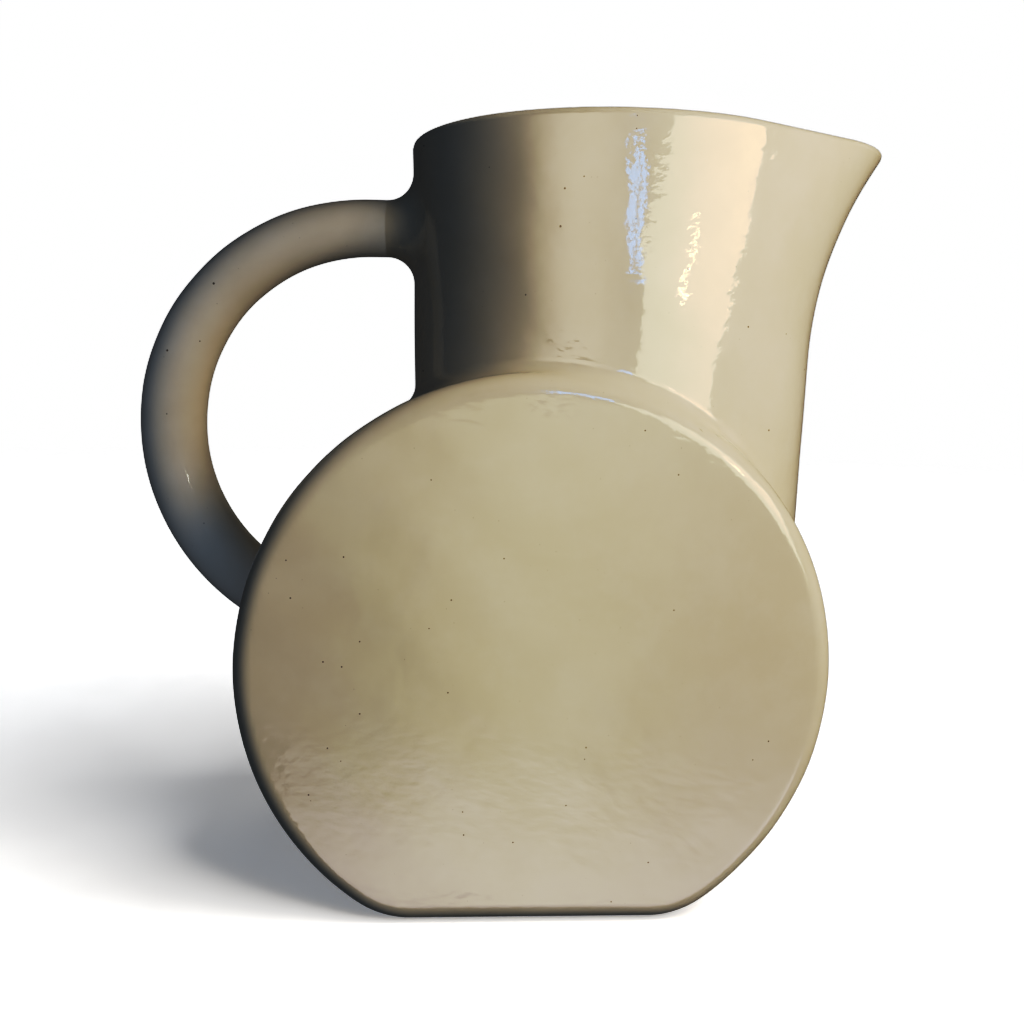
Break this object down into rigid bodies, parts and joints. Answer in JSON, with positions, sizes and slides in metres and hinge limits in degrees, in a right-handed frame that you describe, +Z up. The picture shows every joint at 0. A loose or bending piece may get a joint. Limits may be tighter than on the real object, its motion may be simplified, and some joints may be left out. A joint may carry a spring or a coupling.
{
  "type": "ceramic pitcher",
  "caption": "Glazed ceramic pitcher with an upright drum body, an offset oval neck with a drawn-out spout, and an arched handle.",
  "frame": {"origin": "on the ground, at the middle of the flat foot, under the centre of the drum and midway between its two flat faces", "axes": "+Z up; +X towards the pouring spout, so the handle is at -X; the flat faces of the drum look along -Y and +Y"},
  "size_m": [0.2389, 0.106, 0.236],
  "materials": {
    "cream_glaze": "glossy cream glaze with fine dark iron specks, thinner and warmer on the edges",
    "bare_clay": "unglazed wiped foot, matte and slightly sandy"
  },
  "bodies": {
    "root": {"front_disc": "cream_glaze", "back_disc": "cream_glaze", "drum_band": "cream_glaze", "neck_wall": "cream_glaze", "pouring_spout": "cream_glaze", "handle": "cream_glaze", "neck_luting": "cream_glaze", "handle_upper_luting": "cream_glaze", "handle_lower_luting": "cream_glaze", "base_slab": "bare_clay"}
  },
  "joints": []
}
